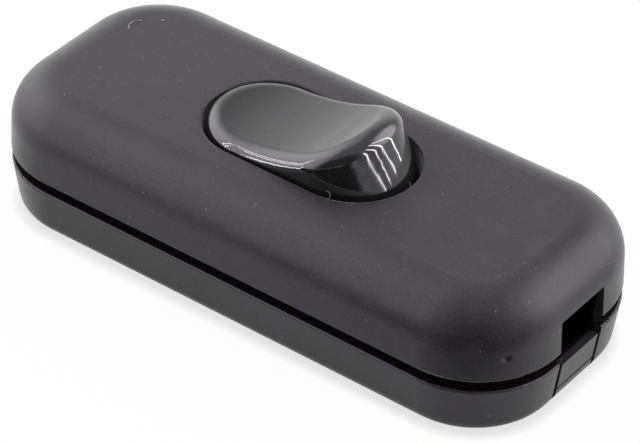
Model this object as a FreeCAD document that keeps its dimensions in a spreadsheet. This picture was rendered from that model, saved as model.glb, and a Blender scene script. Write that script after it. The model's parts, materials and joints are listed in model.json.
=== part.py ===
"""Inline cord switch: a two-part moulded housing with a two-pole rocker mechanism.

Frame: origin on the underside at the middle of the plan, +X along the cord, +Z up, millimetres.
The rocker stands with its left end (-X) pressed, which closes both contacts.
"""
import FreeCAD, Part
import os
import re
import Sketcher

# Driving sizes. Lengths are in millimetres and angles in degrees.
SIZES = {
    # Housing outline
    "body_length": 82.0,
    "body_width": 34.8,
    "corner_radius": 11.9,
    "wall": 2.0,
    "edge_break": 0.3,
    # Base shell
    "base_height": 7.3,
    "base_inset": 1.0,
    "base_edge": 2.2,
    "floor_thickness": 2.0,
    "seam_gap": 1.45,
    "seam_depth": 1.25,
    "lip_rise": 3.2,
    "lip_clearance": 0.15,
    # Cover shell
    "cover_height": 10.25,
    "cover_draft": 2.0,
    "shoulder_radius": 6.2,
    "top_thickness": 2.0,
    # Cord entries and their break-out webs
    "entry_width": 9.0,
    "entry_top": 13.45,
    "web_slit": 0.7,
    "slit_foot": 0.9,
    "web_top": 6.65,
    "web_thickness": 0.9,
    "score_height": 2.6,
    "score_depth": 0.3,
    # Rocker well in the cover
    "opening_length": 30.2,
    "opening_width": 16.8,
    "well_wall": 1.4,
    "well_depth": 6.0,
    # Rocker
    "pivot_depth": 3.9,
    "rocker_tilt": 13.0,
    "rocker_end_gap": 0.33,
    "rocker_side_gap": 0.2,
    "rocker_end_draft": 9.5,
    "rocker_side_draft": 1.5,
    "rocker_rise": 10.0,
    "skirt_drop": 1.6,
    "saddle_height": 1.9,
    "saddle_radius": 30.0,
    "rocker_edge": 2.0,
    "rocker_wall": 1.7,
    "rocker_end_wall": 2.5,
    "end_hollow_width": 8.0,
    "rocker_crown": 2.0,
    "trunnion_radius": 1.5,
    "trunnion_overhang": 0.1,
    "bearing_clearance": 0.06,
    # Plungers and springs in the rocker's hub tubes
    "pole_offset": 4.6,
    "tube_radius": 2.7,
    "tube_drop": 4.6,
    "bore_top": 1.4,
    "plunger_radius": 1.65,
    "plunger_clearance": 0.1,
    "plunger_length": 4.4,
    "plunger_pocket": 2.4,
    "tip_flat": 0.03,
    "tip_clearance": 0.06,
    "spring_radius": 1.0,
    "spring_wire": 0.45,
    "spring_turns": 6.0,
    # Contacts
    "plinth_height": 2.2,
    "plinth_half_length": 24.5,
    "plinth_half_width": 7.6,
    "barrier_thickness": 1.2,
    "barrier_rise": 4.8,
    "strip_thickness": 0.8,
    "strip_width": 4.4,
    "fulcrum_rise": 3.0,
    "fulcrum_clearance": 0.05,
    "lever_thickness": 1.2,
    "lever_tail": 7.0,
    "lever_tilt": 4.0,
    "contact_offset": 9.0,
    "contact_radius": 1.5,
    "contact_head": 0.7,
    "contact_shank": 0.8,
    "contact_clearance": 0.03,
    "closing_radius": 1.2,
    "closing_head": 0.35,
    "rivet_clearance": 0.1,
    "lever_margin": 1.9,
    # Terminals
    "terminal_inset": 3.9,
    "terminal_length": 5.5,
    "terminal_width": 5.0,
    "terminal_height": 5.6,
    "wire_bore_radius": 1.4,
    "wire_bore_height": 2.3,
    "terminal_screw_radius": 1.25,
    "terminal_head_radius": 2.0,
    "terminal_head_height": 1.6,
    # Cord clamps
    "clamp_inset": 9.5,
    "clamp_length": 5.0,
    "clamp_span": 10.4,
    "clamp_screw_offset": 8.1,
    "clamp_boss_radius": 2.2,
    "clamp_boss_top": 10.3,
    "clamp_ear": 2.3,
    "clamp_arch_half": 4.6,
    "clamp_arch_wall": 1.3,
    "clamp_arch_rise": 4.6,
    "clamp_tooth": 0.6,
    "clamp_screw_radius": 1.2,
    "clamp_screw_length": 8.0,
    "clamp_head_radius": 2.1,
    "clamp_head_height": 1.6,
    "cradle_top": 6.6,
    "cradle_rib": 1.2,
    # Housing screws
    "housing_screw_end_inset": 15.8,
    "housing_screw_side_inset": 6.1,
    "housing_boss_radius": 3.9,
    "housing_boss_top": 8.0,
    "pillar_radius": 2.9,
    "counterbore_radius": 2.75,
    "counterbore_depth": 2.6,
    "housing_head_radius": 2.55,
    "housing_head_height": 1.9,
    "housing_screw_radius": 1.5,
    "housing_screw_grip": 7.0,
    # Cuts run past the face that they open
    "cut_overrun": 1.0,
    # Screws in general
    "screw_clearance": 0.05,
    "slot_width": 0.6,
    "slot_depth": 0.7,
}

doc = FreeCAD.newDocument("cord_switch")
sheet = doc.addObject("Spreadsheet::Sheet", "sizes")
for row, (alias, size) in enumerate(SIZES.items(), start=1):
    sheet.set(f"A{row}", alias.replace("_", " "))
    sheet.set(f"B{row}", str(size))
    sheet.setAlias(f"B{row}", alias)
doc.recompute()

# Heights and places that follow from the driving sizes.
SEAM_TOP = "(base_height + seam_gap)"
TOP = "(base_height + seam_gap + cover_height)"
BASE_DRAFT = "atan(base_inset / base_height)"
CEILING = f"({TOP} - top_thickness)"
WELL_FOOT = f"({TOP} - well_depth)"
PIVOT = f"({TOP} - pivot_depth)"
PLINTH_TOP = "(floor_thickness + plinth_height)"
STRIP_TOP = f"({PLINTH_TOP} + strip_thickness)"
FULCRUM = f"({PLINTH_TOP} + fulcrum_rise)"
TERMINAL_TOP = f"({STRIP_TOP} + terminal_height)"
TERMINAL_OFFSET = "(plinth_half_length - terminal_inset)"
CLAMP_OFFSET = "(body_length / 2 - clamp_inset)"
HOUSING_SCREW_X = "(body_length / 2 - housing_screw_end_inset)"
HOUSING_SCREW_Y = "(body_width / 2 - housing_screw_side_inset)"
EAR_TOP = "(clamp_boss_top + clamp_ear)"
ARCH_TOP = "(clamp_boss_top + clamp_arch_rise)"
ROCKER_LENGTH = "(opening_length - 2 * rocker_end_gap)"
ROCKER_WIDTH = "(opening_width - 2 * rocker_side_gap)"
CROWN_LENGTH = f"({ROCKER_LENGTH} - 2 * (skirt_drop + rocker_rise) * tan(rocker_end_draft))"
CROWN_WIDTH = f"({ROCKER_WIDTH} - 2 * (skirt_drop + rocker_rise) * tan(rocker_side_draft))"
TRUNNION_REACH = "(opening_width / 2 + well_wall + trunnion_overhang)"
SADDLE_FLOOR = "(pivot_depth + saddle_height)"
PLUNGER_TIP = f"({PIVOT} - {FULCRUM} - lever_thickness - tip_clearance)"
PLUNGER_TOP = f"({PLUNGER_TIP} - plunger_length)"
SPRING_FOOT = f"({PLUNGER_TOP} + plunger_pocket)"
CONTACT_DROP = (
    "(contact_head * cos(lever_tilt)"
    " + (contact_offset + contact_radius) * sin(lever_tilt) + contact_clearance)"
)
FIXED_HEAD = f"({FULCRUM} - {CONTACT_DROP} - {STRIP_TOP})"
ENDS = (1, -1)


def formula(text):
    """Write an expression in the names of the sizes as one that the sheet's cells drive."""
    def cell(match):
        word = match.group(0)
        return "sizes." + word if word in SIZES else word
    return re.sub(r"[a-z]+(?:_[a-z]+)*", cell, text)


def number(text):
    """The present value of an expression."""
    return float(sheet.evalExpression(formula(text)))


def new_body(label):
    body = doc.addObject("PartDesign::Body", label)
    body.Label = label
    return body


def place(piece, x="0", y="0", z="0", tilt=None):
    """Bind a sub-part's placement; tilt turns it about the Y axis."""
    for axis, text in (("x", x), ("y", y), ("z", z)):
        piece.setExpression(f"Placement.Base.{axis}", formula(text))
    if tilt is not None:
        piece.Placement = FreeCAD.Placement(
            FreeCAD.Vector(), FreeCAD.Rotation(FreeCAD.Vector(0, 1, 0), number(tilt)))
        piece.setExpression("Placement.Rotation.Angle", formula(tilt))


def new_sketch(body, name, role="XY_Plane", offset="0"):
    sketch = body.newObject("Sketcher::SketchObject", f"{body.Name}_{name}")
    plane = next(item for item in body.Origin.OriginFeatures if item.Role == role)
    sketch.AttachmentSupport = [(plane, "")]
    sketch.MapMode = "FlatFace"
    sketch.setExpression("AttachmentOffset.Base.z", formula(offset))
    return sketch


def bind_constraint(sketch, constraint, text):
    index = sketch.addConstraint(constraint)
    sketch.setExpression(f"Constraints[{index}]", formula(text))


def fix_point(sketch, geometry, end, x, y):
    """Tie a point of the sketch to the sketch's origin by two bound distances."""
    for kind, text in (("DistanceX", x), ("DistanceY", y)):
        constraint = Sketcher.Constraint(kind, -1, 1, geometry, end, number(text))
        bind_constraint(sketch, constraint, text)


def draw_polygon(sketch, points):
    first = sketch.GeometryCount
    corners = [FreeCAD.Vector(number(x), number(y), 0) for x, y in points]
    count = len(corners)
    for index in range(count):
        sketch.addGeometry(Part.LineSegment(corners[index], corners[(index + 1) % count]))
    for index in range(count):
        following = first + (index + 1) % count
        sketch.addConstraint(Sketcher.Constraint("Coincident", first + index, 2, following, 1))
    for index, (x, y) in enumerate(points):
        fix_point(sketch, first + index, 1, x, y)


def draw_box(sketch, x_low, x_high, y_low, y_high):
    draw_polygon(sketch, [(x_low, y_low), (x_high, y_low), (x_high, y_high), (x_low, y_high)])


def draw_circle(sketch, x, y, radius):
    centre = FreeCAD.Vector(number(x), number(y), 0)
    circle = sketch.addGeometry(Part.Circle(centre, FreeCAD.Vector(0, 0, 1), number(radius)))
    fix_point(sketch, circle, 3, x, y)
    bind_constraint(sketch, Sketcher.Constraint("Radius", circle, number(radius)), radius)


def draw_outline(sketch, half_length, half_width, radius):
    """Rectangle with round corners, or a stadium where the radius is the half width."""
    half_x = number(half_length)
    half_y = number(half_width)
    round_r = number(radius)
    run_x = f"({half_length} - {radius})"
    run_y = f"({half_width} - {radius})"
    stadium = half_width == radius
    turn = FreeCAD.Vector(0, 0, 1)
    corners = [(1, 0), (-1, 0)] if stadium else [(1, 1), (-1, 1), (-1, -1), (1, -1)]
    span = 360 / len(corners)
    start = -90 if stadium else 0
    arcs = []
    for index, (sign_x, sign_y) in enumerate(corners):
        centre = FreeCAD.Vector(sign_x * (half_x - round_r), sign_y * (half_y - round_r), 0)
        begin = FreeCAD.Units.Quantity(start + span * index, FreeCAD.Units.Angle)
        end = FreeCAD.Units.Quantity(start + span * (index + 1), FreeCAD.Units.Angle)
        circle = Part.Circle(centre, turn, round_r)
        arcs.append(sketch.addGeometry(Part.ArcOfCircle(
            circle, begin.getValueAs("rad").Value, end.getValueAs("rad").Value)))
    for index, arc in enumerate(arcs):
        following = arcs[(index + 1) % len(arcs)]
        line = sketch.addGeometry(Part.LineSegment(
            sketch.getPoint(arc, 2), sketch.getPoint(following, 1)))
        sketch.addConstraint(Sketcher.Constraint("Tangent", arc, 2, line, 1))
        sketch.addConstraint(Sketcher.Constraint("Tangent", line, 2, following, 1))
    for arc, (sign_x, sign_y) in zip(arcs, corners):
        x = f"{sign_x} * {run_x}"
        y = f"{sign_y} * {run_y}" if sign_y else "0"
        fix_point(sketch, arc, 3, x, y)
    bind_constraint(sketch, Sketcher.Constraint("Radius", arcs[0], round_r), radius)
    for arc in arcs[1:]:
        sketch.addConstraint(Sketcher.Constraint("Equal", arcs[0], arc))


def outline_sketch(body, name, height, inset):
    """The housing's plan outline, moved in by an inset, at a height."""
    sketch = new_sketch(body, name, offset=height)
    draw_outline(sketch, f"(body_length / 2 - {inset})", f"(body_width / 2 - {inset})",
                 f"(corner_radius - {inset})")
    return sketch


def stadium_sketch(body, name, height, length, width):
    sketch = new_sketch(body, name, offset=height)
    draw_outline(sketch, f"({length} / 2)", f"({width} / 2)", f"({width} / 2)")
    return sketch


def settle(feature):
    """Work the feature out, and stop where it fails."""
    doc.recompute()
    if feature.Shape.isNull() or not feature.Shape.isValid() or "Invalid" in feature.State:
        raise RuntimeError(f"{feature.Name} failed: {feature.getStatusString()}")
    return feature


def extrude(body, kind, sketch, length, both=False, back=False, taper=None):
    """Pad or pocket a sketch; a two-sided length is the whole one, and a positive taper widens."""
    feature = body.newObject(f"PartDesign::{kind}", f"{sketch.Name}_{kind.lower()}")
    feature.Profile = sketch
    feature.setExpression("Length", formula(length))
    feature.Reversed = back
    if both:
        feature.SideType = "Symmetric"
    if taper is not None:
        feature.setExpression("TaperAngle", formula(taper))
    return settle(feature)


def pad(body, sketch, length, **options):
    return extrude(body, "Pad", sketch, length, **options)


def loft(body, lower, upper):
    feature = body.newObject("PartDesign::AdditiveLoft", f"{lower.Name}_loft")
    feature.Profile = lower
    feature.Sections = [upper]
    feature.Ruled = True
    return settle(feature)


def pocket(body, sketch, length, **options):
    """Cut a sketch out of the body and make sure that the cut met the solid."""
    before = body.Shape.Volume
    feature = extrude(body, "Pocket", sketch, length, **options)
    if feature.Shape.Volume >= before:
        raise RuntimeError(f"{feature.Name} cuts nothing")
    return feature


def round_edges(body, radius, chosen):
    """Fillet the edges of the body's last feature that the test picks out."""
    base = body.Tip
    names = [f"Edge{index}" for index, edge in enumerate(base.Shape.Edges, start=1) if chosen(edge)]
    fillet = body.newObject("PartDesign::Fillet", f"{base.Name}_round")
    fillet.Base = (base, names)
    fillet.setExpression("Radius", formula(radius))
    return settle(fillet)


def at_height(text):
    height = number(text)

    def level(edge):
        box = edge.BoundBox
        return abs(box.ZMin - height) < 1e-6 and abs(box.ZMax - height) < 1e-6
    return level


def revolve(body, sketch):
    feature = body.newObject("PartDesign::Revolution", f"{sketch.Name}_turned")
    feature.Profile = sketch
    feature.ReferenceAxis = (sketch, ["V_Axis"])
    feature.Angle = 360
    return settle(feature)


def mirrored(source, label, normal):
    """The same piece on the other side of the switch."""
    copy = doc.addObject("Part::Mirroring", label)
    copy.Source = source
    copy.Normal = normal
    copy.Label = label
    return copy


def grouped(label, pieces):
    group = doc.addObject("Part::Compound", label)
    group.Links = pieces
    group.Label = label
    return group


ACROSS = FreeCAD.Vector(0, 1, 0)
ALONG = FreeCAD.Vector(1, 0, 0)


def cut_both_ends(body, name, low, high, inner, outer, half_width):
    """Cut a box out of both end walls, between two heights and two distances from the middle."""
    sketch = new_sketch(body, name, offset=high)
    for end in ENDS:
        draw_box(sketch, f"{end} * {inner}", f"{end} * {outer}", f"-{half_width}", half_width)
    return pocket(body, sketch, f"{high} - {low}")


def make_base():
    body = new_body("base")
    underside = outline_sketch(body, "underside", "0", "base_inset")
    pad(body, underside, "base_height", taper=BASE_DRAFT)
    round_edges(body, "base_edge", at_height("0"))
    round_edges(body, "edge_break", at_height("base_height"))
    floor_inset = "(wall + base_inset * (1 - floor_thickness / base_height))"
    inside = outline_sketch(body, "inner_floor", "floor_thickness", floor_inset)
    pocket(body, inside, "base_height - floor_thickness", back=True, taper=BASE_DRAFT)

    # Lip that rises behind the seam into the cover
    lip = outline_sketch(body, "lip", "base_height - wall", "seam_depth")
    draw_outline(lip, "(body_length / 2 - wall)", "(body_width / 2 - wall)", "(corner_radius - wall)")
    pad(body, lip, "wall + lip_rise")

    # Cut both end walls open for the cord, and leave a thin web between two slits in each
    half_entry = "(entry_width / 2)"
    half_web = f"({half_entry} - web_slit)"
    entry_inner = "(body_length / 2 - base_inset - wall - cut_overrun)"
    entry_outer = "(body_length / 2 + cut_overrun)"
    web_back = "(body_length / 2 - base_inset * (1 - floor_thickness / base_height) - web_thickness)"
    score_floor = "(body_length / 2 - base_inset * (1 - score_height / base_height) - score_depth)"
    cut_both_ends(body, "entry", "web_top", "(base_height + lip_rise + cut_overrun)",
                  entry_inner, entry_outer, half_entry)
    cut_both_ends(body, "behind_web", "floor_thickness", "web_top", entry_inner, web_back, half_entry)
    slits = new_sketch(body, "slits", offset="web_top")
    for end in ENDS:
        for side in ENDS:
            draw_box(slits, f"{end} * {web_back}", f"{end} * {entry_outer}",
                     f"{side} * {half_web}", f"{side} * {half_entry}")
    pocket(body, slits, "web_top - slit_foot")
    cut_both_ends(body, "score", "(score_height - score_depth / 2)", "(score_height + score_depth / 2)",
                  score_floor, entry_outer, half_web)

    # Plinth for the contact strips, with a barrier between the poles
    plinth = new_sketch(body, "plinth", offset="floor_thickness / 2")
    draw_box(plinth, "-plinth_half_length", "plinth_half_length",
             "-plinth_half_width", "plinth_half_width")
    pad(body, plinth, f"{PLINTH_TOP} - floor_thickness / 2")
    recesses = new_sketch(body, "rivet_recesses", offset=PLINTH_TOP)
    for side in ENDS:
        draw_circle(recesses, "contact_offset", f"{side} * pole_offset", "closing_radius + rivet_clearance")
    pocket(body, recesses, "closing_head + rivet_clearance")
    barrier = new_sketch(body, "barrier", offset="floor_thickness")
    draw_box(barrier, "-plinth_half_length", "plinth_half_length",
             "-barrier_thickness / 2", "barrier_thickness / 2")
    pad(body, barrier, "plinth_height + barrier_rise")

    # Posts that carry the rocker's trunnions from below
    post_half = "(trunnion_radius - bearing_clearance)"
    post_near = "(opening_width / 2 + 2 * bearing_clearance)"
    post_far = "(opening_width / 2 + well_wall)"
    posts = new_sketch(body, "posts", offset="floor_thickness / 2")
    for side in ENDS:
        draw_box(posts, f"-{post_half}", post_half, f"{side} * {post_near}", f"{side} * {post_far}")
    pad(body, posts, f"{PIVOT} - trunnion_radius / 2 - floor_thickness / 2")
    saddle = new_sketch(body, "saddle", "XZ_Plane")
    draw_circle(saddle, "0", PIVOT, "(trunnion_radius + bearing_clearance)")
    pocket(body, saddle, f"2 * ({post_far} + cut_overrun)", both=True)

    # Cradle ribs and screw bosses of the cord clamps
    cradles = new_sketch(body, "cradles", offset="floor_thickness / 2")
    for end in ENDS:
        for side in ENDS:
            middle = f"{end} * ({CLAMP_OFFSET} + {side} * cradle_rib)"
            draw_box(cradles, f"{middle} - cradle_rib / 2", f"{middle} + cradle_rib / 2",
                     f"-{half_entry}", half_entry)
    pad(body, cradles, "cradle_top - floor_thickness / 2")
    bosses = new_sketch(body, "clamp_bosses", offset="floor_thickness / 2")
    holes = new_sketch(body, "clamp_holes", offset="clamp_boss_top")
    for end in ENDS:
        for side in ENDS:
            x, y = f"{end} * {CLAMP_OFFSET}", f"{side} * clamp_screw_offset"
            draw_circle(bosses, x, y, "clamp_boss_radius")
            draw_circle(holes, x, y, "clamp_screw_radius + screw_clearance")
    pad(body, bosses, "clamp_boss_top - floor_thickness / 2")
    pocket(body, holes, "clamp_screw_length - clamp_ear + screw_clearance")

    # Bosses for the two housing screws, counterbored from below
    bosses = new_sketch(body, "housing_bosses", offset="floor_thickness / 2")
    holes = new_sketch(body, "housing_holes", offset="housing_boss_top")
    bores = new_sketch(body, "counterbores")
    for end in ENDS:
        x, y = f"{end} * {HOUSING_SCREW_X}", f"{-end} * {HOUSING_SCREW_Y}"
        draw_circle(bosses, x, y, "housing_boss_radius")
        draw_circle(holes, x, y, "housing_screw_radius + screw_clearance")
        draw_circle(bores, x, y, "counterbore_radius")
    pad(body, bosses, "housing_boss_top - floor_thickness / 2")
    pocket(body, holes, "housing_boss_top")
    pocket(body, bores, "counterbore_depth", back=True)
    return body


def make_cover():
    body = new_body("cover")
    pad(body, outline_sketch(body, "foot", SEAM_TOP, "0"), "cover_height", taper="-cover_draft")
    round_edges(body, "shoulder_radius", at_height(TOP))
    round_edges(body, "edge_break", at_height(SEAM_TOP))
    inside = outline_sketch(body, "inner_foot", SEAM_TOP, "wall")
    pocket(body, inside, "cover_height - top_thickness", back=True, taper="-cover_draft")
    round_edges(body, "shoulder_radius - wall", at_height(CEILING))

    # Rebate that the base's lip enters
    rebate = outline_sketch(body, "rebate", SEAM_TOP, "(seam_depth - lip_clearance)")
    pocket(body, rebate, "lip_rise - seam_gap + lip_clearance", back=True)

    # Well round the rocker, slotted from below for its trunnions
    well = stadium_sketch(body, "well", WELL_FOOT, "(opening_length + 2 * well_wall)",
                          "(opening_width + 2 * well_wall)")
    pad(body, well, f"{CEILING} + top_thickness / 2 - {WELL_FOOT}")
    opening = stadium_sketch(body, "opening", TOP, "opening_length", "opening_width")
    pocket(body, opening, "well_depth")
    width = number("opening_width")
    round_edges(body, "edge_break", lambda edge: at_height(TOP)(edge)
                and edge.BoundBox.YLength < width + 1e-6
                and edge.BoundBox.XLength < number("opening_length"))
    slot_half = "(trunnion_radius + bearing_clearance)"
    slots = new_sketch(body, "slots", "XZ_Plane")
    draw_box(slots, f"-{slot_half}", slot_half, f"{WELL_FOOT} - cut_overrun", PIVOT)
    whole_well = "opening_width + 2 * (well_wall + cut_overrun)"
    pocket(body, slots, whole_well, both=True)
    crowns = new_sketch(body, "bearings", "XZ_Plane")
    draw_circle(crowns, "0", PIVOT, slot_half)
    pocket(body, crowns, whole_well, both=True)

    # Pillars that stand on the base's bosses and take the housing screws
    pillars = new_sketch(body, "pillars", offset="housing_boss_top")
    holes = new_sketch(body, "pilot_holes", offset="housing_boss_top")
    for end in ENDS:
        x, y = f"{end} * {HOUSING_SCREW_X}", f"{-end} * {HOUSING_SCREW_Y}"
        draw_circle(pillars, x, y, "pillar_radius")
        draw_circle(holes, x, y, "housing_screw_radius + screw_clearance")
    pad(body, pillars, f"{CEILING} + top_thickness / 2 - housing_boss_top")
    pocket(body, holes, "housing_screw_grip + screw_clearance", back=True)

    cut_both_ends(body, "entry", f"({SEAM_TOP} - cut_overrun)", "entry_top",
                  "(body_length / 2 - 2 * wall)", "(body_length / 2 + cut_overrun)", "(entry_width / 2)")
    return body


def make_rocker():
    """The rocker about its own pivot, level; its placement tilts it."""
    body = new_body("rocker")
    # Walls that lean in more at the ends than along the sides
    skirt = stadium_sketch(body, "skirt", "-skirt_drop", ROCKER_LENGTH, ROCKER_WIDTH)
    crown = stadium_sketch(body, "crown", "rocker_rise", CROWN_LENGTH, CROWN_WIDTH)
    loft(body, skirt, crown)
    dish = new_sketch(body, "dish", "XZ_Plane")
    draw_circle(dish, "0", f"{SADDLE_FLOOR} + saddle_radius", "saddle_radius")
    pocket(body, dish, f"2 * {ROCKER_WIDTH}", both=True)
    saddle_edges = [edge for face in body.Tip.Shape.Faces
                    if isinstance(face.Surface, Part.Cylinder)
                    and abs(face.Surface.Radius - number("saddle_radius")) < 1e-6
                    for edge in face.Edges]
    round_edges(body, "rocker_edge",
                lambda edge: sum(edge.isSame(other) for other in saddle_edges) == 1)

    axle = new_sketch(body, "axle", "XZ_Plane")
    draw_circle(axle, "0", "0", "trunnion_radius")
    pad(body, axle, f"2 * {TRUNNION_REACH}", both=True)
    middle = (f"({ROCKER_LENGTH} / 2 - {ROCKER_WIDTH} / 2 + rocker_wall)",
              f"({ROCKER_WIDTH} / 2 - rocker_wall)")
    ends = (f"({ROCKER_LENGTH} / 2 - rocker_end_wall)", "(end_hollow_width / 2)")
    for name, (half_length, half_width) in (("middle_hollow", middle), ("end_hollows", ends)):
        hollow = new_sketch(body, name, offset="-skirt_drop")
        draw_box(hollow, f"-{half_length}", half_length, f"-{half_width}", half_width)
        pocket(body, hollow, f"skirt_drop + {SADDLE_FLOOR} - rocker_crown", back=True)

    tubes = new_sketch(body, "tubes", offset="-tube_drop")
    bores = new_sketch(body, "bores", offset="-tube_drop")
    for side in ENDS:
        draw_circle(tubes, "0", f"{side} * pole_offset", "tube_radius")
        draw_circle(bores, "0", f"{side} * pole_offset", "plunger_radius + plunger_clearance")
    pad(body, tubes, f"tube_drop + {SADDLE_FLOOR} - rocker_crown / 2")
    pocket(body, bores, "tube_drop + bore_top", back=True)
    place(body, z=PIVOT, tilt="-rocker_tilt")
    return body


def place_in_rocker(piece):
    """Ride with the tilted rocker, on the front pole's side."""
    place(piece, y="-pole_offset", z=PIVOT, tilt="-rocker_tilt")


def make_plunger():
    body = new_body("plunger_front")
    barrel = new_sketch(body, "barrel", offset=f"-{PLUNGER_TIP}")
    draw_circle(barrel, "0", "0", "plunger_radius")
    pad(body, barrel, "plunger_length")
    tip = -number(PLUNGER_TIP)
    round_edges(body, "plunger_radius - tip_flat", lambda edge: abs(edge.BoundBox.ZMax - tip) < 1e-6)
    seat = new_sketch(body, "spring_seat", offset=f"-{PLUNGER_TOP}")
    draw_circle(seat, "0", "0", "spring_radius + spring_wire / 2 + screw_clearance")
    pocket(body, seat, "plunger_pocket")
    place_in_rocker(body)
    return body


def make_spring():
    """Coil from the floor of the plunger's pocket to the end of the rocker's bore."""
    body = new_body("plunger_spring_front")
    wire = new_sketch(body, "wire", "XZ_Plane")
    draw_circle(wire, "spring_radius", f"spring_wire / 2 - {SPRING_FOOT}", "spring_wire / 2")
    coil = body.newObject("PartDesign::AdditiveHelix", "coil")
    coil.Profile = wire
    coil.ReferenceAxis = (wire, ["V_Axis"])
    coil.Mode = "height-turns-angle"
    coil.setExpression("Height", formula(f"{SPRING_FOOT} + bore_top - spring_wire"))
    coil.setExpression("Turns", formula("spring_turns"))
    settle(coil)
    place_in_rocker(body)
    return body


def make_lever():
    """Seesaw contact lever about its fulcrum, level; its placement tilts it."""
    body = new_body("contact_lever_front")
    side = new_sketch(body, "side", "XZ_Plane")
    draw_box(side, "-lever_tail", "contact_offset + lever_margin", "0", "lever_thickness")
    pad(body, side, "strip_width", both=True)
    groove = new_sketch(body, "groove", "XZ_Plane")
    draw_circle(groove, "0", "0", "strip_thickness / 2 + fulcrum_clearance")
    pocket(body, groove, "strip_width + cut_overrun", both=True)
    hole = new_sketch(body, "rivet_hole", offset="lever_thickness")
    draw_circle(hole, "contact_offset", "0", "contact_shank")
    pocket(body, hole, "lever_thickness")
    place(body, y="-pole_offset", z=FULCRUM, tilt="lever_tilt")
    return body


def draw_rivet(body, head, grip):
    """Contact rivet about its own axis: face up, shank below, closed by a smaller head."""
    profile = new_sketch(body, "profile", "XZ_Plane")
    draw_polygon(profile, [
        ("0", f"-{grip} - closing_head"),
        ("closing_radius", f"-{grip} - closing_head"),
        ("closing_radius", f"-{grip}"),
        ("contact_shank", f"-{grip}"),
        ("contact_shank", "0"),
        ("contact_radius", "0"),
        ("contact_radius", head),
        ("0", head),
    ])
    revolve(body, profile)


def make_lever_contact():
    """Rivet in the lever, face down."""
    body = new_body("lever_contact_front")
    draw_rivet(body, "contact_head", "lever_thickness")
    reach = "contact_offset * cos(lever_tilt)"
    drop = "contact_offset * sin(lever_tilt)"
    place(body, x=reach, y="-pole_offset", z=f"{FULCRUM} - {drop}", tilt="180 + lever_tilt")
    return body


def make_fixed_contact():
    body = new_body("fixed_contact_front")
    draw_rivet(body, FIXED_HEAD, "strip_thickness")
    place(body, x="contact_offset", y="-pole_offset", z=STRIP_TOP)
    return body


def make_fulcrum_strip():
    """Strip from the feed terminal to the round edge that the lever rocks on."""
    body = new_body("fulcrum_strip_front")
    side = new_sketch(body, "side", "XZ_Plane")
    half = "strip_thickness / 2"
    end = f"-({TERMINAL_OFFSET} + terminal_length / 2)"
    draw_polygon(side, [(end, PLINTH_TOP), (half, PLINTH_TOP), (half, FULCRUM), (f"-{half}", FULCRUM),
                        (f"-{half}", STRIP_TOP), (end, STRIP_TOP)])
    pad(body, side, "strip_width", both=True)
    edge = new_sketch(body, "edge", "XZ_Plane")
    draw_circle(edge, "0", FULCRUM, half)
    pad(body, edge, "strip_width", both=True)
    place(body, y="-pole_offset")
    return body


def make_contact_strip():
    """Strip from the fixed contact to the load terminal."""
    body = new_body("contact_strip_front")
    side = new_sketch(body, "side", "XZ_Plane")
    draw_box(side, "contact_offset - lever_margin", f"{TERMINAL_OFFSET} + terminal_length / 2",
             PLINTH_TOP, STRIP_TOP)
    pad(body, side, "strip_width", both=True)
    hole = new_sketch(body, "rivet_hole", offset=STRIP_TOP)
    draw_circle(hole, "contact_offset", "0", "contact_shank")
    pocket(body, hole, "strip_thickness")
    place(body, y="-pole_offset")
    return body


def make_terminal():
    """Pillar terminal: a block with a bore for the conductor and a screw down into it."""
    body = new_body("load_terminal_front")
    plan = new_sketch(body, "plan", offset=STRIP_TOP)
    draw_box(plan, "-terminal_length / 2", "terminal_length / 2",
             "-terminal_width / 2", "terminal_width / 2")
    pad(body, plan, "terminal_height")
    bore = new_sketch(body, "wire_bore", "YZ_Plane")
    draw_circle(bore, "0", f"{STRIP_TOP} + wire_bore_height", "wire_bore_radius")
    pocket(body, bore, "terminal_length + cut_overrun", both=True)
    hole = new_sketch(body, "screw_hole", offset=TERMINAL_TOP)
    draw_circle(hole, "0", "0", "terminal_screw_radius + screw_clearance")
    pocket(body, hole, "terminal_height - wire_bore_height")
    place(body, x=TERMINAL_OFFSET, y="-pole_offset")
    return body


def make_screw(name, radius, length, head_radius, head_height):
    """Cheese-head screw about its own axis, seated at zero, shank down, with a slotted head."""
    body = new_body(name)
    profile = new_sketch(body, "profile", "XZ_Plane")
    draw_polygon(profile, [("0", f"-{length}"), (radius, f"-{length}"), (radius, "0"),
                           (head_radius, "0"), (head_radius, head_height), ("0", head_height)])
    revolve(body, profile)
    slot = new_sketch(body, "slot", offset=head_height)
    half_slot = f"({head_radius} + cut_overrun)"
    draw_box(slot, f"-{half_slot}", half_slot, "-slot_width / 2", "slot_width / 2")
    pocket(body, slot, "slot_depth")
    return body


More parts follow.
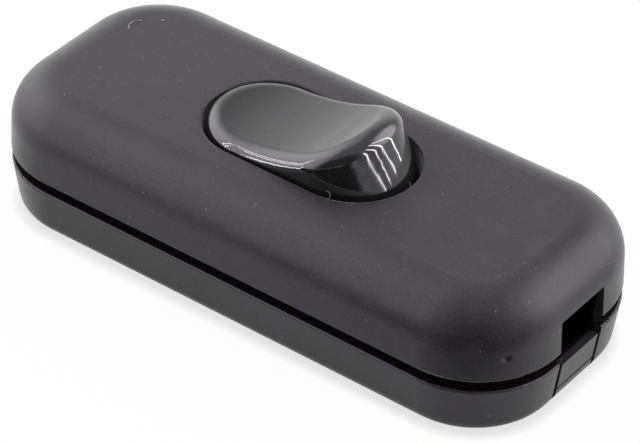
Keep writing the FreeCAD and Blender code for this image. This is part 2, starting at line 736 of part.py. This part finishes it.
def make_clamp():
    """Bridge over the cord, with an ear on each screw boss and a tooth under its arch."""
    body = new_body("cord_clamp_right")
    outer_half = "(clamp_arch_half + clamp_arch_wall)"
    arch_foot = f"({ARCH_TOP} - clamp_ear)"
    profile = new_sketch(body, "profile", "YZ_Plane")
    draw_polygon(profile, [
        ("-clamp_span", "clamp_boss_top"),
        ("-clamp_arch_half", "clamp_boss_top"),
        ("-clamp_arch_half", arch_foot),
        ("clamp_arch_half", arch_foot),
        ("clamp_arch_half", "clamp_boss_top"),
        ("clamp_span", "clamp_boss_top"),
        ("clamp_span", EAR_TOP),
        (outer_half, EAR_TOP),
        (outer_half, ARCH_TOP),
        (f"-{outer_half}", ARCH_TOP),
        (f"-{outer_half}", EAR_TOP),
        ("-clamp_span", EAR_TOP),
    ])
    pad(body, profile, "clamp_length", both=True)
    tooth = new_sketch(body, "tooth", "XZ_Plane")
    draw_polygon(tooth, [("-clamp_tooth", arch_foot), ("0", f"{arch_foot} - clamp_tooth"),
                         ("clamp_tooth", arch_foot)])
    pad(body, tooth, "2 * clamp_arch_half", both=True)
    holes = new_sketch(body, "holes", offset=EAR_TOP)
    for side in ENDS:
        draw_circle(holes, "0", f"{side} * clamp_screw_offset", "clamp_screw_radius + screw_clearance")
    pocket(body, holes, "clamp_ear")
    place(body, x=CLAMP_OFFSET)
    return body


def both_poles(front):
    """The piece on the front pole and its copy on the back pole."""
    return [front, mirrored(front, front.Label.replace("front", "back"), ACROSS)]


base = make_base()
cover = make_cover()
rocker = make_rocker()
sub_parts = [base, cover, rocker]
for make in (make_plunger, make_spring, make_lever, make_lever_contact, make_fixed_contact,
             make_fulcrum_strip, make_contact_strip):
    sub_parts += both_poles(make())
terminal = make_terminal()
feed = mirrored(terminal, "feed_terminal_front", ALONG)
sub_parts += both_poles(terminal) + both_poles(feed)
clamp = make_clamp()
sub_parts += [clamp, mirrored(clamp, "cord_clamp_left", ALONG)]

terminal_screw = make_screw("terminal_screw", "terminal_screw_radius",
                            "(terminal_height - wire_bore_height)",
                            "terminal_head_radius", "terminal_head_height")
place(terminal_screw, x=TERMINAL_OFFSET, y="-pole_offset", z=TERMINAL_TOP)
clamp_screw = make_screw("clamp_screw", "clamp_screw_radius", "clamp_screw_length",
                         "clamp_head_radius", "clamp_head_height")
place(clamp_screw, x=CLAMP_OFFSET, y="-clamp_screw_offset", z=EAR_TOP)
for label, screw in (("terminal_screws", terminal_screw), ("clamp_screws", clamp_screw)):
    pair = [screw, mirrored(screw, f"{label}_back", ACROSS)]
    others = [mirrored(item, f"{item.Name}_left", ALONG) for item in pair]
    sub_parts.append(grouped(label, pair + others))

grip = "(housing_boss_top - counterbore_depth + housing_screw_grip)"
right_screw = make_screw("housing_screw", "housing_screw_radius", grip,
                         "housing_head_radius", "housing_head_height")
place(right_screw, x=HOUSING_SCREW_X, y=f"-{HOUSING_SCREW_Y}", z="counterbore_depth", tilt="180")
opposite = mirrored(mirrored(right_screw, "housing_screw_back", ACROSS), "housing_screw_left", ALONG)
sub_parts.append(grouped("housing_screws", [right_screw, opposite]))

doc.recompute()
for item in doc.Objects:
    if "Invalid" in item.State or "Error" in item.State:
        raise RuntimeError(f"{item.Label} failed: {item.State}")
for piece in sub_parts:
    if piece.Shape.isNull() or not piece.Shape.isValid():
        raise RuntimeError(f"{piece.Label} has no valid shape")

os.makedirs("parts", exist_ok=True)
for piece in sub_parts:
    piece.Shape.exportStep(f"parts/{piece.Label}.step")
    print(piece.Label, len(piece.Shape.Solids), "solids", round(piece.Shape.Volume, 2), "mm3")
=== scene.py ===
"""Inline cord switch: finishes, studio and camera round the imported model.

Frame: origin on the underside at the middle of the plan, +X along the cord, +Z up, metres.
"""
import json
import math
import bmesh
import bpy
from mathutils import Matrix, Vector


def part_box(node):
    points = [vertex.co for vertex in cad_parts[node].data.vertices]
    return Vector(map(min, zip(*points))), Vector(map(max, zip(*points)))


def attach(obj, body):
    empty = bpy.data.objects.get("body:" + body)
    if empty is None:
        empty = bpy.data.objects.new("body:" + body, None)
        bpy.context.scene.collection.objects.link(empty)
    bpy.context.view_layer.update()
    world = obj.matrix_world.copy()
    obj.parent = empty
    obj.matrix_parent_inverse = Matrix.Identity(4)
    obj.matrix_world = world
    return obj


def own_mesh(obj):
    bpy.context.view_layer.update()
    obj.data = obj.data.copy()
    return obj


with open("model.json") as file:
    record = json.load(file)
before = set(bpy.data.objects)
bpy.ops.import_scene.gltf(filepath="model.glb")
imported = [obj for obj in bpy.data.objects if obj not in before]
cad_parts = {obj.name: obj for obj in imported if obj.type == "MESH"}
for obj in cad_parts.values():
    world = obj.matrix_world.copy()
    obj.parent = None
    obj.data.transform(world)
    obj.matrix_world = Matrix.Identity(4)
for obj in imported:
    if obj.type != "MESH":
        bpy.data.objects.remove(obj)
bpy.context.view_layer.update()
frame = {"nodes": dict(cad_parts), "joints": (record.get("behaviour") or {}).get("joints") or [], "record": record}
NODES = frame["nodes"]

MM = 0.001

# Camera, as the photograph was taken
IMAGE_WIDTH = 640
FOCAL_PIXELS = 3383.3
CAMERA_AZIMUTH = math.radians(36.566)
CAMERA_ELEVATION = math.radians(37.577)
CAMERA_ROLL = math.radians(1.289)
CAMERA_TARGET = Vector((0, 0, 8.2)) * MM
CAMERA_DISTANCE = 424.6 * MM
CAMERA_SIDESTEP = 1.231 * MM
CAMERA_LIFT = -1.509 * MM
CAMERA_NEAREST = 0.01
CAMERA_FARTHEST = 20

# White tent round the switch: bright walls, which add to its light and fade over the cosine of the
# angle to their middles, and a dark front for the lens to look in through, which keeps a small
# share of it. Headings go from +X towards +Y and rises from level, in degrees.
TENT_LIGHT = 0.70
TENT_WALLS = {
    "left": {"heading": 203, "rise": 12, "fade": (0.50, 0.92), "light": 1.85},
    "left_high": {"heading": 180, "rise": 48, "fade": (0.80, 0.97), "light": 0.8},
    "right": {"heading": 48, "rise": 28, "fade": (0.76, 0.97), "light": 3.0},
    "back": {"heading": 135, "rise": 5, "fade": (0.72, 0.97), "light": 0.45},
}
DARK_FRONT = {"heading": -64, "rise": 7, "fade": (0.63, 0.88), "share": 0.12}

# White floor: how much of it glows to the lens and in gloss, and how it shades beside the switch
FLOOR_HALF = 3.0
FLOOR_COLOUR = 0.70
FLOOR_ROUGHNESS = 0.9
FLOOR_GLOW = 0.96
FLOOR_GLOW_IN_GLOSS = 0.2
SHADOW_REACH = 1.8 * MM
SHADOW_TONE = 0.78
SHADOW_OPENNESS = (0.4, 1.0)

# Black card on the floor in front, seen in reflections alone
CARD_START = 39 * MM
CARD_DEPTH = 400 * MM
CARD_WIDTH = 700 * MM
CARD_HEIGHT = 0.5 * MM
CARD_COLOUR = 0.01

# Thin strip lamps that draw the white lines on the rocker: the points each one runs through, in
# mm, wide where the tight rounding above the end wall shrinks them
ROUNDING_STRIP = 3.0 * MM
WALL_STRIP = 0.75 * MM
RIGHT_RADIANCE = 15.0
RIGHT_STRIPS = (
    ((64, -19, 48), (71, -10, 24), (73, 6, 19)),
    ((59, -12, 59), (71, 9, 24), (69, 21, 17)),
    ((51, -3, 70), (67, 23, 23), (59, 39, 13)),
    ((51, 5, 69), (55, 38, 42), (51, 45, 16), (45, 51, 9)),
)
LEFT_STRIP = 1.7 * MM
LEFT_RADIANCE = 13.0
LEFT_STRIPS = (
    ((-45, -38, 64), (-45, -38, 30)),
    ((-43, -44, 52), (-43, -44, 24)),
    ((-40, -55, 27), (-40, -55, 8)),
)

# Fluff on the cover: foot, bend and thickness in mm, start and sweep of the arc in degrees
FIBRE_SEGMENTS = 8
FIBRE_STEPS = 16
FIBRES = (
    {"name": "lint_cover", "foot": (-32.9, 7.0, 19.03), "bend": 1.4, "start": 111, "sweep": 132,
     "thickness": 0.13, "upright": False},
    {"name": "fibre_gap_right", "foot": (16.0, -1.6, 19.0), "bend": 3.0, "start": -20, "sweep": 38,
     "thickness": 0.055, "upright": True},
    {"name": "fibre_gap_front", "foot": (8.9, -8.6, 19.0), "bend": 0.8, "start": -60, "sweep": 130,
     "thickness": 0.055, "upright": True},
)

# Crumb on the cover, a flattened ball
CRUMB = Vector((-30.9, 8.7, 19.05)) * MM
CRUMB_RADIUS = 0.16 * MM
CRUMB_STRETCH = (1.3, 0.9, 0.6)

# Ragged flash beside the cord entry: the tips fan out both ways, in degrees from level
BURR = Vector((40.7, 4.5, 8.3)) * MM
BURR_FAN = (-24, 9, -6, 17, 4, -13, 26)
BURR_LENGTH = 1.1 * MM
BURR_RADIUS = 0.2 * MM
BURR_TIP = BURR_RADIUS / 8
BURR_SEGMENTS = 6

# Plastics of the housing and the rocker: the shades that their patches blend
HOUSING_IOR = 1.47
HOUSING_TINT = (1.0, 0.962, 1.0, 1)
HOUSING_DARK = (0.0085, 0.007, 0.009, 1)
HOUSING_CLOUD = (0.0135, 0.0115, 0.014, 1)
HOUSING_SMEAR = (0.023, 0.0215, 0.0235, 1)
HOUSING_GRAIN = (0.023, 0.0205, 0.0235, 1)
# black of the painted shade in the cord entries, the seam and the pit
PAINTED_SHADE_BLACK = (0.006, 0.0045, 0.0055, 1)
ROCKER_IOR = 1.68
ROCKER_TINT = (1.0, 0.965, 1.01, 1)
ROCKER_DARK = (0.006, 0.006, 0.0065, 1)
ROCKER_HAZE = (0.012, 0.012, 0.0125, 1)
ROCKER_FILM = (0.018, 0.018, 0.019, 1)

# Dust: its colour, how strongly it shows, and the spacing and radius of its specks
DUST = (0.42, 0.41, 0.39, 1)
DUST_SHARE = 0.3
FINE_DUST_SHARE = (0.02, 0.16)
SMALL_SPECKS = (1.1 * MM, 0.06 * MM)
LARGE_SPECKS = (2.5 * MM, 0.13 * MM)
FINE_SPECKS = (0.55 * MM, 0.06 * MM)
ROCKER_SPECKS = (1.3 * MM, 0.07 * MM)
SPECK_CORE = 0.6

# Painted shade and highlight: a dark spot for a moulding pit in the cover's corner with a pale
# spot for its lit rim beside it, and painted dark behind the cord entries and inside the seam
PIT_SHADE = Vector((38.5, -12.2, 12.05)) * MM
PIT_SHADE_RADIUS = 0.62 * MM
PIT_RIM_HIGHLIGHT = Vector((38.15, -12.7, 11.9)) * MM
PIT_RIM_HIGHLIGHT_RADIUS = 0.55 * MM
PIT_RIM_HIGHLIGHT_SHARE = 0.12
SPOT_CORE = 0.5
ENTRY_HALF = 4.56 * MM
ENTRY_MOUTH = 39.9 * MM
ENTRY_TOP = 13.5 * MM
SEAM_FOOT = 7.27 * MM
SEAM_TOP = 8.73 * MM

# The span that most of a noise's values fall in
NOISE_SPAN = (0.3, 0.7)


def camera_axes():
    """Right, up and back directions of the camera."""
    back = Vector((
        math.sin(CAMERA_AZIMUTH) * math.cos(CAMERA_ELEVATION),
        -math.cos(CAMERA_AZIMUTH) * math.cos(CAMERA_ELEVATION),
        math.sin(CAMERA_ELEVATION),
    ))
    level = Vector((math.cos(CAMERA_AZIMUTH), math.sin(CAMERA_AZIMUTH), 0))
    rise = back.cross(level)
    right = level * math.cos(CAMERA_ROLL) + rise * math.sin(CAMERA_ROLL)
    up = rise * math.cos(CAMERA_ROLL) - level * math.sin(CAMERA_ROLL)
    return right, up, back


def make_camera():
    """Camera that sees the switch as the photograph shows it."""
    right, up, back = camera_axes()
    data = bpy.data.cameras.new("camera")
    data.lens = FOCAL_PIXELS * data.sensor_width / IMAGE_WIDTH
    data.clip_start = CAMERA_NEAREST
    data.clip_end = CAMERA_FARTHEST
    camera = bpy.data.objects.new("camera", data)
    turn = Matrix((right, up, back)).transposed().to_4x4()
    place = CAMERA_TARGET + back * CAMERA_DISTANCE + right * CAMERA_SIDESTEP + up * CAMERA_LIFT
    camera.matrix_world = Matrix.Translation(place) @ turn
    bpy.context.scene.collection.objects.link(camera)
    bpy.context.scene.camera = camera


class Wiring:
    """A node tree with short ways to add nodes and join them."""

    def __init__(self, tree, place):
        self.tree = tree
        self.place = self.add("ShaderNodeTexCoord").outputs[place]

    def add(self, kind, links=None, **settings):
        node = self.tree.nodes.new(kind)
        for name, value in settings.items():
            setattr(node, name, value)
        for socket, value in (links or {}).items():
            self.feed(node.inputs[socket], value)
        return node

    def feed(self, socket, value):
        if isinstance(value, bpy.types.NodeSocket):
            self.tree.links.new(value, socket)
        else:
            socket.default_value = value

    def math(self, operation, first, second=0):
        return self.add("ShaderNodeMath", {0: first, 1: second}, operation=operation).outputs[0]

    def largest(self, first, *others):
        for other in others:
            first = self.math("MAXIMUM", first, other)
        return first

    def product(self, first, *others):
        for other in others:
            first = self.math("MULTIPLY", first, other)
        return first

    def spread(self, value, low, high, to_low, to_high, smooth=False):
        """A value brought from one range to another, and held at its ends."""
        node = self.add("ShaderNodeMapRange", {
            "Value": value, "From Min": low, "From Max": high, "To Min": to_low, "To Max": to_high},
            interpolation_type="SMOOTHSTEP" if smooth else "LINEAR")
        return node.outputs["Result"]

    def noise(self, grain, detail=2.0, roughness=0.5):
        """Cloudy values whose lumps are about a grain across, in metres."""
        node = self.add("ShaderNodeTexNoise", {
            "Vector": self.place, "Scale": 1 / grain, "Detail": detail, "Roughness": roughness})
        return node.outputs["Fac"]

    def vary(self, noise, low, high):
        """Cloudy values brought to a range."""
        return self.spread(noise, *NOISE_SPAN, low, high)

    def specks(self, spacing, radius):
        """Scattered round specks, 1 in the middle and 0 outside."""
        node = self.add("ShaderNodeTexVoronoi", {"Vector": self.place, "Scale": 1 / spacing})
        return self.spread(node.outputs["Distance"],
                           SPECK_CORE * radius / spacing, radius / spacing, 1, 0)

    def blend(self, share, first, second):
        """First colour, turning into the second with the share."""
        node = self.add("ShaderNodeMix", {"Factor": share}, data_type="RGBA")
        self.feed(node.inputs["A"], first)
        self.feed(node.inputs["B"], second)
        return node.outputs["Result"]

    def patches(self, noise, low, high, first, second):
        """First colour where the noise is low, turning into the second where it is high."""
        return self.blend(self.spread(noise, low, high, 0, 1), first, second)

    def bump(self, height, strength, distance):
        links = {"Height": height, "Strength": strength, "Distance": distance}
        return self.add("ShaderNodeBump", links).outputs["Normal"]


class Finish(Wiring):
    """A surface material on the piece's own coordinates."""

    def __init__(self, name):
        self.material = bpy.data.materials.new(name)
        self.material.use_nodes = True
        super().__init__(self.material.node_tree, "Object")
        self.surface = self.tree.nodes["Principled BSDF"]

    def set(self, **values):
        for name, value in values.items():
            self.feed(self.surface.inputs[name.replace("_", " ")], value)


def grey(level):
    return (level, level, level, 1)


def round_spot(finish, middle, radius, strength):
    """Soft-edged spot on the surface about a point."""
    away = finish.add("ShaderNodeVectorMath", {0: finish.place, 1: middle}, operation="DISTANCE")
    return finish.spread(away.outputs["Value"], SPOT_CORE * radius, radius, strength, 0)


def entry_painted_shade(finish):
    """1 behind the mouths of the cord entries, where shade is painted."""
    axes = finish.add("ShaderNodeSeparateXYZ", {"Vector": finish.place}).outputs
    inside = finish.math("LESS_THAN", finish.math("ABSOLUTE", axes["X"]), ENTRY_MOUTH)
    beside = finish.math("LESS_THAN", finish.math("ABSOLUTE", axes["Y"]), ENTRY_HALF)
    below = finish.math("LESS_THAN", axes["Z"], ENTRY_TOP)
    return finish.product(inside, beside, below)


def seam_painted_shade(finish):
    """1 on the ledge and the lip inside the shadow seam, where shade is painted."""
    height = finish.add("ShaderNodeSeparateXYZ", {"Vector": finish.place}).outputs["Z"]
    above = finish.math("GREATER_THAN", height, SEAM_FOOT)
    below = finish.math("LESS_THAN", height, SEAM_TOP)
    return finish.product(above, below)


def housing_plastic():
    """Satin black moulding: fine grain, smears from handling, dust, with shade painted into a pit, the cord
    entries and the seam, and a painted highlight on the pit's rim.
    """
    finish = Finish("housing_black")
    clouds = finish.noise(9 * MM, detail=3)
    smears = finish.noise(3.5 * MM, detail=5, roughness=0.6)
    grain = finish.noise(0.3 * MM, detail=3, roughness=0.65)
    clouded = finish.patches(clouds, *NOISE_SPAN, HOUSING_DARK, HOUSING_CLOUD)
    smeared = finish.patches(smears, 0.5, 0.75, clouded, HOUSING_SMEAR)
    mottled = finish.patches(grain, 0.4, 0.7, smeared, HOUSING_GRAIN)
    specks = finish.largest(finish.specks(*SMALL_SPECKS), finish.specks(*LARGE_SPECKS))
    fine_dust = finish.product(finish.specks(*FINE_SPECKS),
                               finish.spread(clouds, 0.42, 0.62, *FINE_DUST_SHARE))
    # the pale spot beside the pit in this blend is a painted highlight on the pit's rim
    dust = finish.largest(finish.product(specks, DUST_SHARE), fine_dust,
                          round_spot(finish, PIT_RIM_HIGHLIGHT, PIT_RIM_HIGHLIGHT_RADIUS, PIT_RIM_HIGHLIGHT_SHARE))
    painted_shade = finish.largest(entry_painted_shade(finish), seam_painted_shade(finish),
                            round_spot(finish, PIT_SHADE, PIT_SHADE_RADIUS, 1.0))
    # painted shade: black colour, weaker reflection and no sheen in the cord entries, the seam and the pit
    finish.set(
        Base_Color=finish.blend(painted_shade, finish.blend(dust, mottled, DUST), PAINTED_SHADE_BLACK),
        IOR=HOUSING_IOR,
        Specular_Tint=HOUSING_TINT,
        Specular_IOR_Level=finish.spread(painted_shade, 0, 1, 0.5, 0.12),
        Sheen_Weight=finish.spread(painted_shade, 0, 1, 0.4, 0),
        Sheen_Roughness=0.35,
        Roughness=finish.vary(smears, 0.37, 0.47),
        Normal=finish.bump(grain, 0.6, 0.03 * MM),
    )
    return finish.material


def rocker_plastic():
    """High-gloss black moulding with a thin film and a breath of dust."""
    finish = Finish("rocker_black")
    haze = finish.noise(5 * MM, detail=4)
    film = finish.noise(0.35 * MM, detail=3, roughness=0.65)
    hazed = finish.patches(haze, 0.35, 0.7, ROCKER_DARK, ROCKER_HAZE)
    filmed = finish.patches(film, 0.42, 0.7, hazed, ROCKER_FILM)
    dust = finish.product(finish.specks(*ROCKER_SPECKS), DUST_SHARE)
    finish.set(
        Base_Color=finish.blend(dust, filmed, DUST),
        IOR=ROCKER_IOR,
        Specular_Tint=ROCKER_TINT,
        Roughness=finish.vary(haze, 0.04, 0.09),
    )
    return finish.material


def flash_plastic():
    """Torn edge of the black moulding."""
    finish = Finish("flash_black")
    tears = finish.noise(0.15 * MM, detail=3)
    finish.set(
        Base_Color=finish.patches(tears, 0.35, 0.7,
                                  (0.003, 0.0025, 0.003, 1), (0.012, 0.011, 0.012, 1)),
        Specular_IOR_Level=0.15,
        Roughness=finish.vary(tears, 0.5, 0.7),
    )
    return finish.material


def lint():
    """Grey-white fluff, uneven along its length."""
    finish = Finish("lint_grey")
    tufts = finish.noise(0.3 * MM, detail=2)
    finish.set(
        Base_Color=finish.patches(tufts, 0.35, 0.65,
                                  (0.13, 0.127, 0.125, 1), (0.30, 0.295, 0.29, 1)),
        Roughness=finish.vary(tufts, 0.7, 0.9),
    )
    return finish.material


def metal(name, colour, tarnish, roughness):
    """Bare metal with rolled grain and a thin uneven tarnish."""
    finish = Finish(name)
    stains = finish.noise(1.6 * MM, detail=4)
    scuffs = finish.noise(0.12 * MM, detail=3, roughness=0.7)
    finish.set(
        Base_Color=finish.patches(stains, 0.4, 0.75, (*colour, 1), (*tarnish, 1)),
        Metallic=1.0,
        Roughness=finish.vary(scuffs, roughness - 0.07, roughness + 0.09),
        Normal=finish.bump(scuffs, 0.2, 0.01 * MM),
    )
    return finish.material


def clamp_plastic():
    """Off-white moulding, a little yellowed."""
    finish = Finish("clamp_plastic")
    stains = finish.noise(3 * MM, detail=3)
    grain = finish.noise(0.2 * MM, detail=2)
    finish.set(
        Base_Color=finish.patches(stains, 0.35, 0.7,
                                  (0.74, 0.73, 0.69, 1), (0.68, 0.65, 0.58, 1)),
        Roughness=finish.vary(grain, 0.4, 0.52),
        Normal=finish.bump(grain, 0.15, 0.01 * MM),
    )
    return finish.material


FINISHES = {
    "housing_black": housing_plastic(),
    "rocker_black": rocker_plastic(),
    "clamp_plastic": clamp_plastic(),
    "brass": metal("brass", (0.74, 0.56, 0.24), (0.55, 0.38, 0.16), 0.3),
    "silver": metal("silver", (0.84, 0.84, 0.82), (0.66, 0.64, 0.6), 0.26),
    "zinc_steel": metal("zinc_steel", (0.63, 0.64, 0.65), (0.5, 0.5, 0.47), 0.33),
    "spring_steel": metal("spring_steel", (0.46, 0.46, 0.47), (0.34, 0.32, 0.3), 0.3),
    "lint_grey": lint(),
    "flash_black": flash_plastic(),
}


def dress_nodes():
    """Give every node the finish of its slot."""
    for part in frame["record"]["subparts"]:
        mesh = NODES[part["node"]].data
        mesh.materials.clear()
        mesh.materials.append(FINISHES[part["material_slot"]])


def compress_springs():
    """Give each coil spring that a joint lists as deforming its own copy of its mesh."""
    for joint in frame["joints"]:
        for spring in joint.get("deforming_nodes", ()):
            coil = NODES[spring["node"]]
            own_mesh(coil)


def add_object(name, shape, material):
    """Turn a finished shape into an object in the scene."""
    mesh = bpy.data.meshes.new(name)
    shape.to_mesh(mesh)
    shape.free()
    mesh.materials.append(material)
    item = bpy.data.objects.new(name, mesh)
    bpy.context.scene.collection.objects.link(item)
    return item


def place_piece(name, shape, material, body):
    """Turn a finished shape into a piece that rides on a body."""
    bmesh.ops.recalc_face_normals(shape, faces=shape.faces)
    piece = add_object(name, shape, material)
    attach(piece, body)


def make_fibres():
    """Bent bits of fluff on the cover, each swept along an arc from its foot."""
    quarter_turn = math.radians(90)
    for fibre in FIBRES:
        shape = bmesh.new()
        bmesh.ops.create_circle(shape, cap_ends=True, segments=FIBRE_SEGMENTS,
                                radius=fibre["thickness"] / 2 * MM)
        bmesh.ops.rotate(shape, matrix=Matrix.Rotation(quarter_turn, 3, "X"), verts=shape.verts)
        bmesh.ops.translate(shape, vec=(fibre["bend"] * MM, 0, 0), verts=shape.verts)
        bmesh.ops.spin(shape, geom=shape.verts[:] + shape.edges[:] + shape.faces[:],
                       axis=(0, 0, 1), angle=math.radians(fibre["sweep"]), steps=FIBRE_STEPS)
        turn = Matrix.Rotation(math.radians(fibre["start"]), 3, "Z")
        if fibre["upright"]:
            turn = (Matrix.Rotation(CAMERA_AZIMUTH, 3, "Z")
                    @ Matrix.Rotation(quarter_turn, 3, "X") @ turn)
        foot = turn @ Vector((fibre["bend"], 0, 0))
        bmesh.ops.rotate(shape, matrix=turn, verts=shape.verts)
        bmesh.ops.translate(shape, vec=(Vector(fibre["foot"]) - foot) * MM, verts=shape.verts)
        place_piece(fibre["name"], shape, FINISHES["lint_grey"], "housing")


def make_crumb():
    """Speck of dirt on the cover."""
    shape = bmesh.new()
    bmesh.ops.create_icosphere(shape, subdivisions=2, radius=CRUMB_RADIUS)
    bmesh.ops.scale(shape, vec=CRUMB_STRETCH, verts=shape.verts)
    bmesh.ops.translate(shape, vec=CRUMB, verts=shape.verts)
    place_piece("crumb_cover", shape, FINISHES["lint_grey"], "housing")


def make_burr():
    """Ragged flash in the seam, beside the cord entry."""
    shape = bmesh.new()
    lift = Matrix.Translation((0, 0, BURR_LENGTH / 2))
    for number, droop in enumerate(BURR_FAN):
        lie = Matrix.Rotation(math.radians(90 + droop), 4, "Y")
        side = Matrix.Rotation(CAMERA_AZIMUTH + math.pi * (number % 2), 4, "Z")
        bmesh.ops.create_cone(shape, cap_ends=True, segments=BURR_SEGMENTS,
                              radius1=BURR_RADIUS, radius2=BURR_TIP, depth=BURR_LENGTH,
                              matrix=Matrix.Translation(BURR) @ side @ lie @ lift)
    place_piece("burr_seam", shape, FINISHES["flash_black"], "housing")


def floor_paint():
    """Matt white that glows to the lens and a little in gloss, and shades beside the switch."""
    finish = Finish("floor_white")
    finish.set(Base_Color=grey(FLOOR_COLOUR), Roughness=FLOOR_ROUGHNESS)
    openness = finish.add("ShaderNodeAmbientOcclusion", {"Distance": SHADOW_REACH}).outputs["AO"]
    glow = finish.add("ShaderNodeEmission", {
        "Color": grey(1),
        "Strength": finish.spread(openness, *SHADOW_OPENNESS, SHADOW_TONE, 1.0)})
    rays = finish.add("ShaderNodeLightPath").outputs
    straight = finish.largest(rays["Is Camera Ray"], rays["Is Transmission Ray"])
    glowing = finish.largest(finish.product(straight, FLOOR_GLOW),
                             finish.product(rays["Is Glossy Ray"], FLOOR_GLOW_IN_GLOSS))
    mix = finish.add("ShaderNodeMixShader", {
        "Fac": glowing, 1: finish.surface.outputs["BSDF"], 2: glow.outputs["Emission"]})
    finish.feed(finish.tree.nodes["Material Output"].inputs["Surface"], mix.outputs["Shader"])
    return finish.material


def make_floor():
    """White floor that keeps a soft shadow under the switch."""
    shape = bmesh.new()
    bmesh.ops.create_grid(shape, x_segments=1, y_segments=1, size=FLOOR_HALF)
    floor = add_object("floor", shape, floor_paint())


def heading_vector(heading, rise):
    """Direction of a heading and a rise in degrees."""
    turn, lift = math.radians(heading), math.radians(rise)
    level = math.cos(lift)
    return Vector((math.cos(turn) * level, math.sin(turn) * level, math.sin(lift)))


def make_world():
    """Soft white light from all round, strongest from both sides and dark in front."""
    world = bpy.data.worlds.new("tent")
    world.use_nodes = True
    tent = Wiring(world.node_tree, "Generated")

    def wall(part, outside, inside):
        middle = heading_vector(part["heading"], part["rise"])
        towards = tent.add("ShaderNodeVectorMath", {0: tent.place, 1: middle},
                           operation="DOT_PRODUCT").outputs["Value"]
        return tent.spread(towards, *part["fade"], outside, inside, smooth=True)

    light = TENT_LIGHT
    for part in TENT_WALLS.values():
        light = tent.math("ADD", light, wall(part, 0, part["light"]))
    light = tent.product(light, wall(DARK_FRONT, 1, DARK_FRONT["share"]))
    rays = tent.add("ShaderNodeLightPath").outputs
    straight = tent.largest(rays["Is Camera Ray"], rays["Is Transmission Ray"])
    strength = tent.add("ShaderNodeMix", {"Factor": straight}, data_type="FLOAT")
    tent.feed(strength.inputs["A"], light)
    tent.feed(strength.inputs["B"], 1.0)
    background = tent.tree.nodes["Background"]
    tent.feed(background.inputs["Color"], grey(1))
    tent.feed(background.inputs["Strength"], strength.outputs["Result"])
    bpy.context.scene.world = world


def make_black_card():
    """Dark card in front of the switch, as photographers lay one to keep gloss black."""
    shape = bmesh.new()
    bmesh.ops.create_grid(shape, x_segments=1, y_segments=1, size=0.5)
    bmesh.ops.scale(shape, vec=(CARD_DEPTH, CARD_WIDTH, 1), verts=shape.verts)
    bmesh.ops.translate(shape, vec=(CARD_START + CARD_DEPTH / 2, 0, CARD_HEIGHT),
                        verts=shape.verts)
    turn = Matrix.Rotation(math.radians(DARK_FRONT["heading"]), 3, "Z")
    bmesh.ops.rotate(shape, cent=(0, 0, 0), matrix=turn, verts=shape.verts)
    finish = Finish("card_black")
    finish.set(Base_Color=grey(CARD_COLOUR), Roughness=1.0, Specular_IOR_Level=0.0)
    card = add_object("black_card", shape, finish.material)
    card.visible_camera = False
    card.visible_diffuse = False
    card.visible_shadow = False


def make_strip_lamp(name, start, end, width, radiance, lit):
    """Thin area lamp from point to point in mm, turned to the rocker and seen in gloss alone."""
    start, end = Vector(start) * MM, Vector(end) * MM
    along = end - start
    middle = (start + end) / 2
    low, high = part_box("rocker")
    away = middle - (Vector(low) + Vector(high)) / 2
    along_axis = along.normalized()
    across_axis = along_axis.cross(away).normalized()
    back_axis = across_axis.cross(along_axis)
    turn = Matrix((across_axis, along_axis, back_axis)).transposed().to_4x4()
    data = bpy.data.lights.new(name, "AREA")
    data.shape = "RECTANGLE"
    data.size = width
    data.size_y = along.length
    data.energy = radiance * math.pi * width * along.length
    lamp = bpy.data.objects.new(name, data)
    lamp.matrix_world = Matrix.Translation(middle) @ turn
    lamp.visible_camera = False
    lamp.visible_diffuse = False
    lamp.light_linking.receiver_collection = lit
    bpy.context.scene.collection.objects.link(lamp)


def make_strip_lamps():
    """Strip lamps on both sides, which light nothing but the rocker."""
    lit = bpy.data.collections.new("strip_lit")
    lit.objects.link(NODES["rocker"])
    for number, points in enumerate(RIGHT_STRIPS, start=1):
        for start, end in zip(points, points[1:]):
            width = WALL_STRIP if end == points[-1] else ROUNDING_STRIP
            make_strip_lamp(f"strip_right_{number}", start, end, width, RIGHT_RADIANCE, lit)
    for number, (start, end) in enumerate(LEFT_STRIPS, start=1):
        make_strip_lamp(f"strip_left_{number}", start, end, LEFT_STRIP, LEFT_RADIANCE, lit)


make_camera()
dress_nodes()
compress_springs()
make_fibres()
make_crumb()
make_burr()
make_floor()
make_world()
make_black_card()
make_strip_lamps()
bpy.context.scene.view_settings.view_transform = "Standard"
